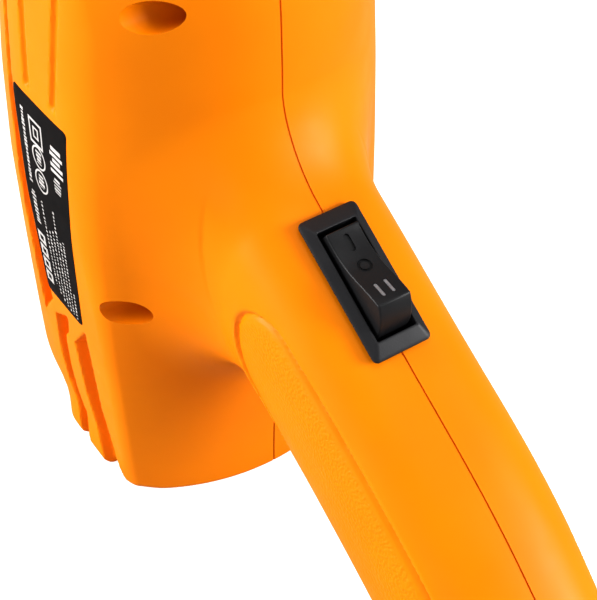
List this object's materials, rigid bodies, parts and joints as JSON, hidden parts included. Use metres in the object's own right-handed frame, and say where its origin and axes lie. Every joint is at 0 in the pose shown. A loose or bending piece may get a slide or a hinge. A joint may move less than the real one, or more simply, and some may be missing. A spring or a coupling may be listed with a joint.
{
  "type": "heat gun",
  "caption": "Pistol-shaped electric hot-air gun standing on its rear rim, steel nozzle up, with a split orange housing, a sloping handle, a three-position rocker switch and a flexible cord.",
  "frame": {"origin": "on the barrel axis in the plane of the rear rim, at the flush face of the intake grille's hub", "axes": "+Z along the barrel towards the nozzle, +X from the barrel towards the handle, Y across the parting plane of the housing (label on the -Y side)"},
  "size_m": [0.2709, 0.0782, 0.248],
  "materials": {
    "housing_orange": "satin moulded ABS",
    "switch_black": "fine satin",
    "rocker_grey": "satin",
    "heat_guard_black": "glass-filled nylon, matte",
    "nozzle_steel": "turned stainless",
    "screw_steel": "zinc plated",
    "mica": "pressed mica sheet",
    "ceramic": "unglazed steatite",
    "resistance_wire": "oxidised",
    "cord_rubber": "matte",
    "brass": "stamped",
    "ferrite": "sintered",
    "lamination": "stacked laminations",
    "board_green": "solder mask",
    "lead_blue": "smooth",
    "lead_red": "smooth",
    "label_black": "printed film",
    "inner_nylon": "matte"
  },
  "bodies": {
    "gun": {"housing_left": "housing_orange", "housing_right": "housing_orange", "housing_screw_upper_front": "screw_steel", "housing_screw_lower_front": "screw_steel", "housing_screw_upper_back": "screw_steel", "housing_screw_lower_back": "screw_steel", "housing_screw_handle": "screw_steel", "switch_frame": "switch_black", "switch_terminal_1": "brass", "switch_terminal_2": "brass", "switch_terminal_3": "brass", "nozzle_tube": "nozzle_steel", "front_collar": "heat_guard_black", "mica_sleeve": "mica", "heater_core": "ceramic", "heater_coil_low": "resistance_wire", "heater_coil_high": "resistance_wire", "heater_base": "ceramic", "thermal_cutout": "screw_steel", "air_guide": "inner_nylon", "motor_can": "screw_steel", "motor_end_cap": "inner_nylon", "magnet_a": "ferrite", "magnet_b": "ferrite", "motor_mount": "inner_nylon", "rectifier_board": "board_green", "diode_1": "heat_guard_black", "diode_2": "heat_guard_black", "diode_3": "heat_guard_black", "diode_4": "heat_guard_black", "suppression_capacitor": "lead_blue", "rear_grille": "heat_guard_black", "power_cord": "cord_rubber", "cord_guard": "cord_rubber", "cord_clamp": "inner_nylon", "clamp_screw_1": "screw_steel", "clamp_screw_2": "screw_steel", "live_lead": "lead_red", "neutral_lead": "lead_blue", "heater_lead_low": "lead_red", "heater_lead_high": "lead_red", "rating_label": "label_black"},
    "rocker": {"switch_rocker": "rocker_grey"},
    "rotor": {"motor_armature": "lamination", "fan_impeller": "inner_nylon"}
  },
  "joints": [
    {"name": "rocker_pivot", "type": "hinge", "parent": "gun", "child": "rocker", "pos_m": [0.07085, 0, 0.09239], "axis": [0, 1, 0], "range_deg": [0, 30.2]},
    {"name": "fan_spin", "type": "hinge", "parent": "gun", "child": "rotor", "pos_m": [0, 0, 0.06], "axis": [0, 0, 1], "continuous": true}
  ]
}
